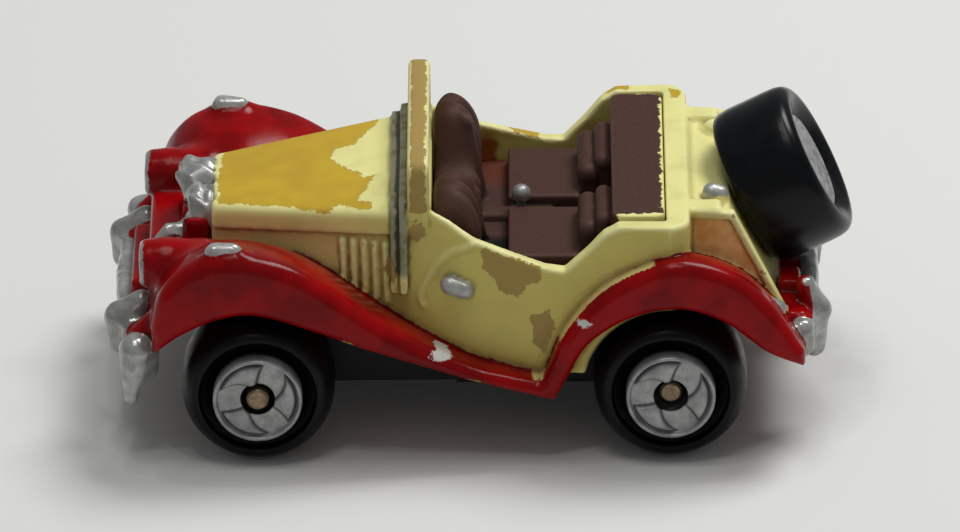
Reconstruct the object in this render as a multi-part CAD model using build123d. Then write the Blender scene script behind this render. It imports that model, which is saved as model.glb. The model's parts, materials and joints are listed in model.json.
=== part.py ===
from build123d import *
import math
import os

# Pull-back toy car: an open two-seat roadster moulding on a black base, with a spring
# motor on the rear axle. Millimetres. +X is the car's nose, +Y its left side, +Z up.
# The origin is on the ground under the middle of the car's outer box.

# Wheels and axles
WHEELBASE = 27.6
TYRE_R = 5.15
TREAD_EDGE_R = 5.0
LIP_R = 3.9
CAP_R = 3.0
BARREL_R = 2.4
AXLE_R = 0.75
AXLE_CLEARANCE = 0.05
CAP_HOLE_R = 1.1
CAP_HOLE_DEPTH = 1.2
TYRE_IN_Y = 7.4
TREAD_OUT_Y = 11.0
LIP_Y = 12.3
RECESS_Y = 11.6
CAP_Y = 13.0
FRONT_AXLE_END_Y = 12.8
REAR_AXLE_END_Y = 12.1
NOSE_SHIFT = 1.1005
FRONT_X = WHEELBASE / 2 + NOSE_SHIFT
REAR_X = -WHEELBASE / 2 + NOSE_SHIFT
WELL_R = 5.6

# Body moulding
WALL = 1.2
FENDER_IN_Y = 5.6
FENDER_OUT_Y = 12.8
CHASSIS_HALF = 6.9
DECK_Z = 17.0
SILL_Z = 5.0
TUB_FLOOR_Z = 11.2
TUB_FLOOR_TOP_Z = 12.4
SCREEN_TOP_Z = 20.5
SCREEN_HALF = 8.7

# Base and motor
BASE_Z = 3.2
BASE_T = 0.9
BASE_HALF = 6.0
BASE_WALL_TOP = 6.6
BASE_FRONT_X = FRONT_X + 2.6
BASE_REAR_X = REAR_X - 4.2
SCREW_X = 8.0
MOTOR_Z = 2.0
MOTOR_BACK_X = REAR_X - 2.8
MOTOR_LENGTH = 17.2
MOTOR_TOP = 11.1
MOTOR_WALL = 0.5
MOTOR_SPLIT_Y = -2.6
MOTOR_FAR_Y = 4.0

# Gear train
MODULE = 0.4
PRESSURE_ANGLE = math.radians(27)
BACKLASH = 0.05
PINION_TEETH = 8
REDUCTION_TEETH = 16
SPRING_TEETH = 18
PIN_R = 0.5
PIN_CLEARANCE = 0.05
REDUCTION_LIFT = math.radians(18)

# Spare wheel
SPARE_R = 5.5
SPARE_HALF = 2.8
SPARE_LEAN = 27.0
SPARE_X = -21.56 + NOSE_SHIFT
SPARE_Z = 15.57
SPARE_DISC_R = 3.4
SPARE_POST_R = 1.0

AXLE_Z = TYRE_R
MESH_1 = MODULE * (PINION_TEETH + REDUCTION_TEETH) / 2
MESH_2 = MODULE * (PINION_TEETH + SPRING_TEETH) / 2
REDUCTION_X = REAR_X + MESH_1 * math.cos(REDUCTION_LIFT)
REDUCTION_Z = AXLE_Z + MESH_1 * math.sin(REDUCTION_LIFT)
SPRING_X = REDUCTION_X + MESH_2
SPRING_Z = REDUCTION_Z


def side_slab(outline, y_low, y_high):
    """Prism of a face drawn in (x, z), filling y_low to y_high."""
    plane = Plane(origin=(0, y_high, 0), x_dir=(1, 0, 0), z_dir=(0, -1, 0))
    return extrude(plane * outline, amount=y_high - y_low)


def polygon(points):
    return make_face(Polyline(*points, close=True))


def block(x, y, z):
    """Box from three (low, high) spans."""
    size = [high - low for low, high in (x, y, z)]
    middle = [(high + low) / 2 for low, high in (x, y, z)]
    return Pos(*middle) * Box(*size)


def both_sides(solid):
    return [solid, mirror(solid, about=Plane.XZ)]


def cross_rod(x, z, radius, y_low, y_high):
    """Cylinder along Y."""
    rod = Rot(90, 0, 0) * Cylinder(radius, y_high - y_low)
    return Pos(x, (y_low + y_high) / 2, z) * rod


def long_rod(y, z, radius, x_low, x_high):
    """Cylinder along X."""
    rod = Rot(0, 90, 0) * Cylinder(radius, x_high - x_low)
    return Pos((x_low + x_high) / 2, y, z) * rod


def shifted(points):
    """Side-view points measured from mid-wheelbase, moved to the origin's frame."""
    return [(x + NOSE_SHIFT, z) for x, z in points]


# ---------------------------------------------------------------- body moulding

def front_fender():
    """Front wing and running board as one flowing outline, on the left."""
    crest = shifted([(20.9, 8.2), (20.9, 11.2), (19.2, 14.2), (15.3, 15.2), (11.9, 14.6),
                     (9.2, 13.1), (6.2, 10.9), (2.9, 8.9), (-0.4, 7.2), (-5.0, 6.2)])
    hem = shifted([(-5.8, 4.6), (-1.1, 5.8), (1.7, 6.8), (6.7, 8.5), (9.5, 9.5),
                   (13.8, 10.95), (18.8, 9.6), (20.9, 8.2)])
    outline = make_face([Spline(*crest), Line(crest[-1], hem[0]), Spline(*hem)])
    return side_slab(outline, FENDER_IN_Y, FENDER_OUT_Y)


def rear_fender():
    """Rear wing from the running board over the wheel to the tail, on the left."""
    crest = shifted([(-4.6, 6.0), (-6.5, 9.6), (-9.4, 12.7), (-14.4, 14.4), (-18.5, 13.1),
                     (-21.2, 10.4), (-22.9, 7.9)])
    hem = shifted([(-22.7, 7.2), (-20.0, 8.2), (-17.2, 10.5), (-14.2, 11.3), (-11.0, 10.7),
                   (-8.3, 8.8), (-6.6, 5.6), (-5.5, 4.9)])
    outline = make_face([Spline(*crest), Line(crest[-1], hem[0]), Spline(*hem),
                         Line(hem[-1], crest[0])])
    return side_slab(outline, CHASSIS_HALF, FENDER_OUT_Y)


def bonnet():
    """Tapered bonnet, narrow at the radiator and wide at the scuttle."""
    nose = Plane(origin=(16.6 + NOSE_SHIFT, 0, 0), x_dir=(0, 1, 0), z_dir=(1, 0, 0))
    scuttle = Plane(origin=(3.6 + NOSE_SHIFT, 0, 0), x_dir=(0, 1, 0), z_dir=(1, 0, 0))
    front = nose * polygon([(-6.0, 8.0), (6.0, 8.0), (4.3, 15.5), (0, 15.9), (-4.3, 15.5)])
    back = scuttle * polygon([(-9.6, 8.0), (9.6, 8.0), (8.1, 16.6), (0, 17.2), (-8.1, 16.6)])
    return loft([front, back])


def cabin_plan(inset):
    """Plan outline of the cabin, drawn inset by a wall thickness."""
    half = [(4.3, 8.6), (2.1, 9.25), (0, 9.9), (-5, 10.8), (-10, 11.3), (-14.1, 11.4), (-15.1, 10.6)]
    left = [(x + NOSE_SHIFT, y - inset) for x, y in half]
    front = left[0][0] - (2.2 if inset else 0)
    rear = left[-1][0] + (1.5 if inset else 0)
    left = [(min(max(x, rear), front), y) for x, y in left]
    right = [(x, -y) for x, y in reversed(left)]
    return polygon(left + right)


def cabin():
    """Door sides, scuttle and deck rim, cut down over the doors."""
    block_out = Pos(0, 0, SILL_Z) * extrude(cabin_plan(0), amount=DECK_Z - SILL_Z)
    dip = shifted([(2.1, 21), (2.1, 16.8), (-0.8, 15.3), (-6.5, 13.5), (-9.1, 16.1),
                   (-10.3, DECK_Z), (-10.3, 21)])
    return block_out - side_slab(polygon(dip), -14, 14)


def windscreen():
    """Thick upright screen frame with a glazed field."""
    plane = Plane(origin=(3.7 + NOSE_SHIFT, 0, 0), x_dir=(0, -1, 0), z_dir=(-1, 0, 0))
    low = 15.9
    middle = (SCREEN_TOP_Z + low) / 2
    tall = SCREEN_TOP_Z - low
    frame = Pos(0, middle) * RectangleRounded(2 * SCREEN_HALF, tall, 0.9)
    return extrude(plane * frame, amount=1.5)


def tank():
    """Sloped tail with the post for the spare wheel."""
    side = shifted([(-14.9, 16.8), (-18.0, 16.2), (-21.9, 8.4), (-21.9, 6.4), (-14.9, 6.4)])
    body = side_slab(polygon(side), -8.0, 8.0)
    lean = math.radians(SPARE_LEAN)
    reach = 2.7
    x = SPARE_X + reach * math.cos(lean)
    z = SPARE_Z - reach * math.sin(lean)
    post = Pos(x, 0, z) * Rot(0, -90 + SPARE_LEAN, 0) * Cylinder(SPARE_POST_R, 2 * reach)
    return body + post


def nose():
    """Radiator shell, apron, lamps, and both bumpers with their overriders."""
    shift = NOSE_SHIFT
    radiator = block((16.4 + shift, 19.0 + shift), (-3.6, 3.6), (9.0, 15.6))
    apron = block((14.0 + shift, 21.2 + shift), (-9.0, 9.0), (8.4, 11.4))
    bracket = block((20.0 + shift, 22.8 + shift), (-7.0, 7.0), (7.0, 9.0))
    solid = radiator + apron + bracket
    for lamp in both_sides(long_rod(7.0, 12.6, 1.7, 15.0 + shift, 21.6 + shift)):
        solid = solid + lamp
    for side_lamp in both_sides(long_rod(11.55, 15.0, 0.6, 15.0 + shift, 17.0 + shift)):
        solid = solid + side_lamp
    arc = ThreePointArc((21.7 + shift, -11.8), (23.3 + shift, 0), (21.7 + shift, 11.8))
    back = ThreePointArc((20.7 + shift, -11.8), (21.6 + shift, 0), (20.7 + shift, 11.8))
    ends = [Line((20.7 + shift, y), (21.7 + shift, y)) for y in (-11.8, 11.8)]
    blade = extrude(make_face([arc, back] + ends), amount=2.5)
    solid = solid + Pos(0, 0, 6.1) * blade
    for side in (1, -1):
        guard = sorted((side * 5.6, side * 7.4))
        tusk = sorted((side * 10.3, side * 11.7))
        solid = solid + block((21.9 + shift, 24.0 + shift), guard, (5.8, 9.8))
        solid = solid + block((21.0 + shift, 22.9 + shift), tusk, (4.2, 8.4))
    return solid


def tail():
    """Rear bumper, its overriders and the valance that carries them."""
    shift = NOSE_SHIFT
    valance = block((-22.7 + shift, -20.0 + shift), (-8.6, 8.6), (6.9, 9.1))
    blade = block((-24.0 + shift, -22.5 + shift), (-9.6, 9.6), (6.6, 9.3))
    solid = valance + blade
    for y in (-6.4, 6.4):
        solid = solid + block((-24.3 + shift, -22.4 + shift), (y - 0.9, y + 0.9), (5.3, 10.6))
    return solid


def body_shell():
    """The one-piece body moulding, hollow from below."""
    shift = NOSE_SHIFT
    solid = bonnet() + cabin() + windscreen() + tank() + nose() + tail()
    for wing in both_sides(front_fender()) + both_sides(rear_fender()):
        solid = solid + wing
    engine_bay = block((4.8 + shift, 15.4 + shift), (-3.6, 3.6), (-1, 14.0))
    gap = block((-1 + shift, 19.6 + shift), (-CHASSIS_HALF, CHASSIS_HALF), (-1, 8.3))
    boot_side = shifted([(-12.6, -1), (-12.6, 12.0), (-18.4, 12.0), (-20.5, 7.4), (-20.5, -1)])
    boot = side_slab(polygon(boot_side), -CHASSIS_HALF, CHASSIS_HALF)
    solid = solid - engine_bay - gap - boot
    for x in (FRONT_X, REAR_X):
        for sign in (1, -1):
            spans = sorted((sign * (CHASSIS_HALF - 0.05), sign * 14))
            solid = solid - cross_rod(x, AXLE_Z, WELL_R, *spans)
    solid = solid - Pos(0, 0, -1) * extrude(cabin_plan(WALL), amount=SCREEN_TOP_Z)
    boss = Pos(SCREW_X, 0, BASE_Z + BASE_T + 5.2) * Cylinder(1.8, 10.4)
    solid = solid + boss
    pilot = Pos(SCREW_X, 0, BASE_Z + 4) * Cylinder(0.6, 8)
    return solid - pilot


# ---------------------------------------------------------------- cabin insert

def interior_tub():
    """Dash, floor, two seats and the rear deck pad, in one brown moulding."""
    shift = NOSE_SHIFT
    floor = Pos(0, 0, TUB_FLOOR_Z) * extrude(cabin_plan(WALL), amount=TUB_FLOOR_TOP_Z - TUB_FLOOR_Z)
    solid = floor & block((-13.6 + shift, 2.1 + shift), (-12, 12), (0, 20))
    dash = block((-1.1 + shift, 2.0 + shift), (-7.9, 7.9), (TUB_FLOOR_Z, 16.4))
    solid = solid + dash
    pad = block((-13.5 + shift, -9.8 + shift), (-9.6, 9.6), (TUB_FLOOR_Z, 16.9))
    solid = solid + pad
    for sign in (1, -1):
        hump = Pos(0.5 + shift, sign * 4.4, 16.3) * Rot(0, 90, 0) * Cylinder(1.5, 3.0)
        cushion = block((-7.9 + shift, -3.0 + shift), (-3.7, 3.7), (TUB_FLOOR_Z, 13.6))
        cushion = fillet(cushion.edges().group_by(Axis.Z)[-1], 0.4)
        rest = block((-9.9 + shift, -7.8 + shift), (-3.4, 3.4), (TUB_FLOOR_Z, 16.0))
        rest = fillet(rest.edges().group_by(Axis.Z)[-1], 0.6)
        solid = solid + hump + Pos(0, sign * 4.5, 0) * cushion + Pos(0, sign * 4.7, 0) * rest
    lever_hole = Pos(-3.9 + shift, 0, 12.4) * Cylinder(0.3, 1.2)
    return solid - lever_hole


def gear_lever():
    """Ball-topped pin pressed into the tunnel between the seats."""
    stem = Pos(-3.9 + NOSE_SHIFT, 0, 12.85) * Cylinder(0.3, 2.1)
    ball = Pos(-3.9 + NOSE_SHIFT, 0, 14.2) * Sphere(0.65)
    return stem + ball


# ---------------------------------------------------------------- base and axles

def base_plate():
    """Channel-shaped base that carries both axles and the motor."""
    plate = block((BASE_REAR_X, BASE_FRONT_X), (-BASE_HALF, BASE_HALF), (BASE_Z, BASE_Z + BASE_T))
    wall_span = (BASE_HALF - 1.0, BASE_HALF)
    wall = block((BASE_REAR_X + 1, BASE_FRONT_X - 0.5), wall_span, (BASE_Z, BASE_WALL_TOP))
    solid = plate
    for side in both_sides(wall):
        solid = solid + side
    window = block((MOTOR_BACK_X, MOTOR_BACK_X + MOTOR_LENGTH), (MOTOR_SPLIT_Y - 0.6, MOTOR_FAR_Y),
                   (0, BASE_Z + 1.5))
    solid = solid - window
    for x in (FRONT_X, REAR_X):
        solid = solid - cross_rod(x, AXLE_Z, AXLE_R + AXLE_CLEARANCE, -8, 8)
    screw_hole = Pos(SCREW_X, 0, BASE_Z + 0.45) * Cylinder(0.6, 0.9)
    head_seat = Pos(SCREW_X, 0, BASE_Z + 0.2) * Cylinder(1.3, 0.4)
    return solid - screw_hole - head_seat


def base_screw():
    """Self-tapping screw from the base up into the body's boss."""
    head = Pos(SCREW_X, 0, BASE_Z + 0.2) * Cylinder(1.3, 0.4)
    shank = Pos(SCREW_X, 0, BASE_Z + 3.0) * Cylinder(0.6, 6.0)
    slot = Pos(SCREW_X, 0, BASE_Z) * (Box(1.6, 0.3, 0.4) + Box(0.3, 1.6, 0.4))
    return head + shank - slot


def axle(x, end_y):
    rod = cross_rod(x, AXLE_Z, AXLE_R, -end_y, end_y)
    ends = rod.edges().filter_by(GeomType.CIRCLE)
    return chamfer(ends, 0.15)


# ---------------------------------------------------------------- wheels

def tyre_ring():
    """Tyre turned about the Y axis, its outer face towards +Y, on an axle at the origin."""
    shoulder = ThreePointArc((LIP_R, LIP_Y), (4.72, 11.85), (TREAD_EDGE_R, TREAD_OUT_Y))
    rest = Polyline((TREAD_EDGE_R, TREAD_OUT_Y), (TYRE_R, TREAD_OUT_Y - 0.5), (TYRE_R, 8.2),
                    (4.7, TYRE_IN_Y), (BARREL_R, TYRE_IN_Y), (BARREL_R, RECESS_Y),
                    (LIP_R, RECESS_Y), (LIP_R, LIP_Y))
    return revolve(make_face([shoulder, rest]), Axis.Y)


def wheel_hub():
    """Silver hub: barrel inside the tyre, cap outside, pressed on the axle."""
    profile = polygon([(AXLE_R, TYRE_IN_Y), (BARREL_R, TYRE_IN_Y), (BARREL_R, RECESS_Y),
                       (CAP_R, RECESS_Y), (CAP_R, CAP_Y), (CAP_HOLE_R, CAP_Y),
                       (CAP_HOLE_R, CAP_Y - CAP_HOLE_DEPTH), (AXLE_R, CAP_Y - CAP_HOLE_DEPTH)])
    return revolve(profile, Axis.Y)


def on_spare_post(solid):
    """Turn a piece made about the Y axis onto the leaning spare post."""
    return Pos(SPARE_X, 0, SPARE_Z) * Rot(0, SPARE_LEAN, 0) * Rot(0, 0, 90) * solid


def spare_tyre():
    """Spare tyre, its outer face with a broad lip that slopes in to the disc."""
    half = SPARE_HALF
    shoulder = ThreePointArc((4.6, half), (5.2, half - 0.3), (SPARE_R, half - 1.1))
    rest = Polyline((SPARE_R, half - 1.1), (SPARE_R, 0.6 - half), (5.0, -half), (BARREL_R, -half),
                    (BARREL_R, half - 0.9), (SPARE_DISC_R, half - 0.9),
                    (SPARE_DISC_R, half - 0.5), (4.6, half))
    return on_spare_post(revolve(make_face([shoulder, rest]), Axis.Y))


def spare_hub():
    """Dished silver centre of the spare, pressed on the post."""
    seat = SPARE_HALF - 0.9
    profile = polygon([(SPARE_POST_R, 0.2 - SPARE_HALF), (BARREL_R, 0.2 - SPARE_HALF),
                       (BARREL_R, seat), (SPARE_DISC_R, seat), (SPARE_DISC_R, seat + 0.3),
                       (SPARE_POST_R, seat + 0.1)])
    return on_spare_post(revolve(profile, Axis.Y))


# ---------------------------------------------------------------- motor

def gear_face(teeth, turn):
    """Involute gear outline about the origin, its first tooth at angle turn."""
    pitch = MODULE * teeth / 2
    base = pitch * math.cos(PRESSURE_ANGLE)
    tip = pitch + 0.75 * MODULE
    root = pitch - 1.1 * MODULE
    spread = math.tan(PRESSURE_ANGLE) - PRESSURE_ANGLE
    half = math.pi / (2 * teeth) - BACKLASH / (2 * pitch)
    start = max(base, root)
    points = []
    for tooth in range(teeth):
        middle = turn + tooth * 2 * math.pi / teeth
        flank = []
        for step in range(5):
            radius = start + (tip - start) * step / 4
            angle = math.acos(base / radius)
            flank.append((radius, half + spread - (math.tan(angle) - angle)))
        flank.insert(0, (root, flank[0][1]))
        rising = [(r, middle - a) for r, a in flank]
        falling = [(r, middle + a) for r, a in reversed(flank)]
        points += [(r * math.cos(a), r * math.sin(a)) for r, a in rising + falling]
    return polygon(points)


def gear(teeth, turn, x, z, y_low, y_high):
    return side_slab(Pos(x, z) * gear_face(teeth, turn), y_low, y_high)


def mesh_turn(teeth, towards):
    """Turn that points a gap, not a tooth, in the direction towards."""
    return towards + math.pi / teeth


def axle_gear():
    """Driving pinion pressed on the rear axle."""
    pinion = gear(PINION_TEETH, REDUCTION_LIFT, REAR_X, AXLE_Z, -2.4, -1.2)
    return pinion - cross_rod(REAR_X, AXLE_Z, AXLE_R, -3, 0)


def reduction_gear():
    """Wheel and pinion in one, between the axle pinion and the spring gear."""
    wheel = gear(REDUCTION_TEETH, mesh_turn(REDUCTION_TEETH, REDUCTION_LIFT + math.pi),
                 REDUCTION_X, REDUCTION_Z, -2.3, -1.3)
    pinion = gear(PINION_TEETH, 0, REDUCTION_X, REDUCTION_Z, -1.3, 0.2)
    bore = cross_rod(REDUCTION_X, REDUCTION_Z, PIN_R + PIN_CLEARANCE, -3, 1)
    return wheel + pinion - bore


def spring_gear():
    """Gear with the arbor that the mainspring winds on."""
    wheel = gear(SPRING_TEETH, mesh_turn(SPRING_TEETH, math.pi), SPRING_X, SPRING_Z, -1.1, 0.1)
    arbor = cross_rod(SPRING_X, SPRING_Z, 1.0, 0.1, 3.2)
    return wheel + arbor - cross_rod(SPRING_X, SPRING_Z, PIN_R + PIN_CLEARANCE, -3, 4)


def mainspring():
    """Flat strip coiled round the arbor, its outer end against the case."""
    turns = 4.5
    strip = 0.22
    inner, outer = 1.2, 3.85
    steps = 72

    def ring(offset):
        points = []
        for step in range(steps + 1):
            share = step / steps
            angle = 2 * math.pi * turns * share
            radius = inner + (outer - inner - strip) * share + offset
            points.append((radius * math.cos(angle), radius * math.sin(angle)))
        return points

    outline = polygon(ring(0) + list(reversed(ring(strip))))
    return side_slab(Pos(SPRING_X, SPRING_Z) * outline, 0.6, 3.0)


def motor_box(y_low, y_high, inset):
    spans = (MOTOR_BACK_X + inset, MOTOR_BACK_X + MOTOR_LENGTH - inset)
    return block(spans, (y_low, y_high), (MOTOR_Z + inset, MOTOR_TOP - inset * 0.7))


def motor_bores(solid):
    """Holes for the axle and for the two gear pins."""
    solid = solid - cross_rod(REAR_X, AXLE_Z, AXLE_R + AXLE_CLEARANCE, -8, 8)
    for x, z in ((REDUCTION_X, REDUCTION_Z), (SPRING_X, SPRING_Z)):
        solid = solid - cross_rod(x, z, PIN_R, -8, 8)
    return solid


def motor_case():
    """Open tray around the gear train and mainspring."""
    tray = motor_box(MOTOR_SPLIT_Y, MOTOR_FAR_Y, 0)
    tray = tray - motor_box(MOTOR_SPLIT_Y, MOTOR_FAR_Y - MOTOR_WALL, MOTOR_WALL)
    return motor_bores(tray)


def motor_cover():
    """Lid that closes the motor case."""
    return motor_bores(motor_box(MOTOR_SPLIT_Y - 0.6, MOTOR_SPLIT_Y, 0))


def gear_pin(x, z):
    return cross_rod(x, z, PIN_R, MOTOR_SPLIT_Y - 0.6, MOTOR_FAR_Y)


# ---------------------------------------------------------------- sub-parts

def all_parts():
    parts = {
        "body_shell": body_shell(),
        "interior_tub": interior_tub(),
        "gear_lever": gear_lever(),
        "base_plate": base_plate(),
        "base_screw": base_screw(),
        "front_axle": axle(FRONT_X, FRONT_AXLE_END_Y),
        "rear_axle": axle(REAR_X, REAR_AXLE_END_Y),
        "spare_tyre": spare_tyre(),
        "spare_hub": spare_hub(),
        "motor_case": motor_case(),
        "motor_cover": motor_cover(),
        "reduction_pin": gear_pin(REDUCTION_X, REDUCTION_Z),
        "spring_pin": gear_pin(SPRING_X, SPRING_Z),
        "axle_gear": axle_gear(),
        "reduction_gear": reduction_gear(),
        "spring_gear": spring_gear(),
        "mainspring": mainspring(),
    }
    for end, x in (("front", FRONT_X), ("rear", REAR_X)):
        for kind, solid in (("tyre", tyre_ring()), ("hub", wheel_hub())):
            placed = Pos(x, 0, AXLE_Z) * solid
            left, right = both_sides(placed)
            parts[f"{end}_left_{kind}"] = left
            parts[f"{end}_right_{kind}"] = right
    return parts


os.makedirs("parts", exist_ok=True)
for name, solid in all_parts().items():
    export_step(solid, f"parts/{name}.step")
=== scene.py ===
import bpy
import json
import math
import numpy as np
from mathutils import Matrix, Vector


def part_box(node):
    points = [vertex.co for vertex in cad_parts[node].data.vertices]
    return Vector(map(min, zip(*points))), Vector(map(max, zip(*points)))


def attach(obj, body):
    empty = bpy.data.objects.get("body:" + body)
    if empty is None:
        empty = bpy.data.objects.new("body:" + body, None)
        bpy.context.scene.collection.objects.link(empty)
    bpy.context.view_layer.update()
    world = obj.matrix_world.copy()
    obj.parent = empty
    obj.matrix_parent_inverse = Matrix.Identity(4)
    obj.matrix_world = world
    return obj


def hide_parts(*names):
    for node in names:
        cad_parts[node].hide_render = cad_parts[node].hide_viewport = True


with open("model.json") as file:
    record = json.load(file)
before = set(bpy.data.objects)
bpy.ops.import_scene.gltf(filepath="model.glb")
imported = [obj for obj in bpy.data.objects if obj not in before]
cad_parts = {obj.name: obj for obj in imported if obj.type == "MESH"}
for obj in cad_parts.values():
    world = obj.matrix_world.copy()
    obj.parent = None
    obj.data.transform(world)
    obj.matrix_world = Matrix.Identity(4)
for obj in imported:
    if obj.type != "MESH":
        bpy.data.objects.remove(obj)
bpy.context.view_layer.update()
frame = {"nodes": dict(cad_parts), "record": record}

# All shapes below are worked out in millimetres in the car's side view: x is measured
# forward from mid-wheelbase, y to the car's left and z up from the ground.
MM = 0.001
STEP = 0.15              # grid step of the body moulding
FINE_STEP = 0.12         # grid step of the cabin insert
FAR, TINY = 1e9, 1e-12
CORNERS = [(i, j, k) for i in (0, 1) for j in (0, 1) for k in (0, 1)]


def middle(node):
    low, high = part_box(node)
    return [(a + b) / 2 / MM for a, b in zip(low, high)]


def reach(node):
    """Half the size of a node along x, y and z, in millimetres."""
    low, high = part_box(node)
    return [(b - a) / 2 / MM for a, b in zip(low, high)]


FRONT_HUB = middle("front_left_hub")
REAR_HUB = middle("rear_left_hub")
SHIFT = (FRONT_HUB[0] + REAR_HUB[0]) / 2
HALF_BASE = (FRONT_HUB[0] - REAR_HUB[0]) / 2
AXLE_Z = FRONT_HUB[2]
TYRE_R = reach("front_left_tyre")[0]

# ------------------------ camera, first

ELEVATION = math.radians(26.0)
YAW = math.radians(0.35)
ROLL = math.radians(-0.61)
CAMERA_DISTANCE = 800.0
LOOK_AT = (SHIFT - 1.07, 0.0, 8.77)
SENSOR = 36.0
LENS = 443.7375


def make_camera():
    turn = Matrix.Rotation(YAW, 3, "Z")
    forward = turn @ Vector((0, -math.cos(ELEVATION), -math.sin(ELEVATION)))
    right = turn @ Vector((-1, 0, 0))
    up = turn @ Vector((0, -math.sin(ELEVATION), math.cos(ELEVATION)))
    tilted_right = math.cos(ROLL) * right + math.sin(ROLL) * up
    tilted_up = math.cos(ROLL) * up - math.sin(ROLL) * right
    data = bpy.data.cameras.new("camera")
    data.sensor_width = SENSOR
    data.lens = LENS
    data.clip_start = 0.01
    data.clip_end = 10
    camera = bpy.data.objects.new("camera", data)
    place = (Vector(LOOK_AT) - CAMERA_DISTANCE * forward) * MM
    axes = Matrix((tilted_right, tilted_up, -forward)).transposed().to_4x4()
    camera.matrix_world = Matrix.Translation(place) @ axes
    bpy.context.scene.collection.objects.link(camera)
    bpy.context.scene.camera = camera


make_camera()

# ------------------------ distance fields


class Grid:
    """Sample points over a box, as three arrays that broadcast against each other."""

    def __init__(self, low, high, step):
        self.low, self.step = np.array(low, float), step
        count = [int(round((b - a) / step)) + 1 for a, b in zip(low, high)]
        spans = [a + step * np.arange(n, dtype=np.float32) for a, n in zip(low, count)]
        self.x = spans[0].astype(np.float32)[:, None, None]
        self.y = spans[1].astype(np.float32)[None, :, None]
        self.z = spans[2].astype(np.float32)[None, None, :]


def smooth_min(a, b, blend):
    h = np.maximum(blend - np.abs(a - b), 0) / blend
    return np.minimum(a, b) - h * h * blend / 4


def smooth_max(a, b, blend):
    return -smooth_min(-a, -b, blend)


def join(total, *pairs):
    """Union of a field with (field, blend) pairs, in order."""
    for field, blend in pairs:
        total = smooth_min(total, field, blend)
    return total


def rounded(parts, radius):
    """Distance to the crossing of spans, each given as a signed distance, with round edges."""
    outside = sum(np.maximum(part + radius, 0) ** 2 for part in parts)
    inside = parts[0] + radius
    for part in parts[1:]:
        inside = np.maximum(inside, part + radius)
    return np.sqrt(outside) + np.minimum(inside, 0) - radius


def box_field(g, centre, half, radius=0.2):
    parts = [np.abs(axis - c) - h for axis, c, h in zip((g.x, g.y, g.z), centre, half)]
    return rounded(parts, radius)


def rod_field(g, start, end, radius, end_radius=None):
    """Capsule between two points, tapering to end_radius."""
    end_radius = radius if end_radius is None else end_radius
    axis = np.array(end, float) - start
    offset = [v - s for v, s in zip((g.x, g.y, g.z), start)]
    share = sum(o * a for o, a in zip(offset, axis)) / float(axis @ axis)
    share = np.clip(share, 0, 1)
    gap = sum((o - share * a) ** 2 for o, a in zip(offset, axis))
    return np.sqrt(gap) - (radius + share * (end_radius - radius))


def curve(points, per_span=6):
    """Smooth line through a few points (Catmull-Rom)."""
    p = np.array([points[0]] + list(points) + [points[-1]], float)
    t = np.linspace(0, 1, per_span, endpoint=False)[:, None]
    spans = []
    for a, b, c, d in zip(p, p[1:], p[2:], p[3:]):
        spans.append(0.5 * (2 * b + (c - a) * t + (2 * a - 5 * b + 4 * c - d) * t ** 2
                            + (3 * b - a - 3 * c + d) * t ** 3))
    return np.vstack(spans + [p[-1:]])


def line_distance(u, v, points):
    """Distance from (u, v) to an open line through points."""
    best = np.full(np.broadcast(u, v).shape, FAR, np.float32)
    for (ax, ay), (bx, by) in zip(points, points[1:]):
        ex, ey = bx - ax, by - ay
        share = np.clip(((u - ax) * ex + (v - ay) * ey) / (ex * ex + ey * ey + TINY), 0, 1)
        best = np.minimum(best, (u - ax - share * ex) ** 2 + (v - ay - share * ey) ** 2)
    return np.sqrt(best)


def polygon_distance(u, v, outline):
    """Signed distance from points (u, v) to a closed outline, negative inside."""
    points = np.array([*outline, outline[0]], float)
    distance = line_distance(u, v, points)
    inside = np.zeros(distance.shape, bool)
    for (ax, ay), (bx, by) in zip(points, points[1:]):
        slope = (bx - ax) / (by - ay if by != ay else TINY)
        inside ^= ((ay > v) != (by > v)) & (u < ax + (v - ay) * slope)
    return np.where(inside, -distance, distance)


def side_outline(g, outline):
    """Signed distance to a side-view outline, for every point of a grid."""
    return polygon_distance(g.x[:, :, 0], g.z[0, 0][None, :], outline)[:, None, :]


def lookup(x, table):
    """Straight-line interpolation in a short table of (x, value)."""
    xs, values = zip(*sorted(table))
    return np.interp(x, xs, values).astype(np.float32)


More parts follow.
